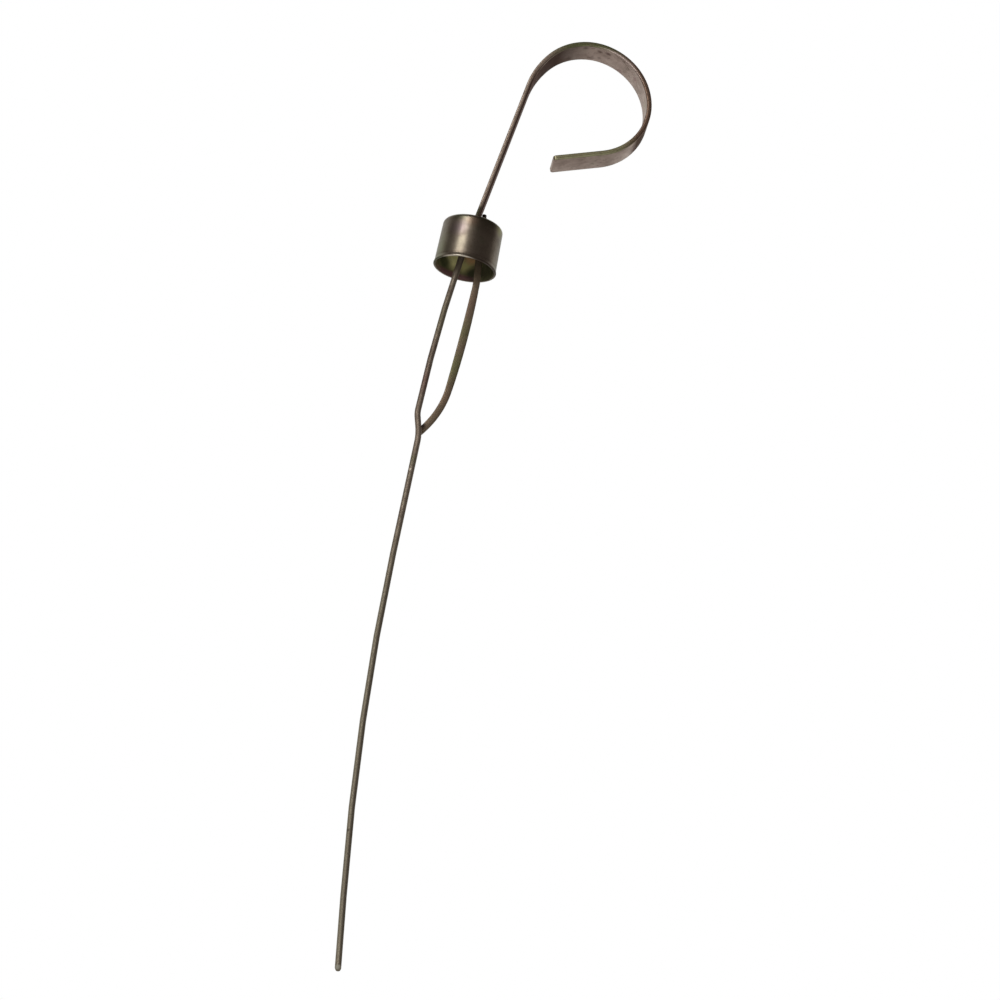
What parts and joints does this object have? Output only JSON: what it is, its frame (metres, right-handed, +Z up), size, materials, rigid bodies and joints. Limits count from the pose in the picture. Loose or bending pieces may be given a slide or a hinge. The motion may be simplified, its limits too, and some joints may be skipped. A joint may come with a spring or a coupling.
{
  "type": "oil dipstick",
  "caption": "Steel dipstick: flat-strip crook handle and drawn tube cap on a long wire rod, with a sprung leg under the cap that grips inside the tube.",
  "frame": {"origin": "centre of the cap's mouth, where the cap meets the filler tube", "axes": "+Z up the cap's axis to the handle, +X to the side the crook bends to, +Y away from the viewer"},
  "size_m": [0.0663, 0.023, 0.3572],
  "materials": {
    "cap_steel": "tarnished plating, drawn and faintly ribbed round the lip",
    "strip_steel": "tarnished rolled strip with small stains",
    "rod_steel": "drawn wire, brown tarnish",
    "spring_steel": "flattened wire, olive-brown tarnish",
    "braze": "darkened braze metal"
  },
  "bodies": {
    "gauge": {"cap_shell": "cap_steel", "crook_handle": "strip_steel", "dip_rod": "rod_steel", "leg_bush": "cap_steel", "foot_bead": "braze", "rod_bead": "braze"},
    "spring": {"spring_leg": "spring_steel"}
  },
  "joints": [
    {"name": "leg_flex", "type": "hinge", "parent": "gauge", "child": "spring", "pos_m": [0.00312, 0, 0.019], "axis": [0, 1, 0], "range_deg": [0, 1.5], "stiffness_Nm_per_rad": 1}
  ]
}
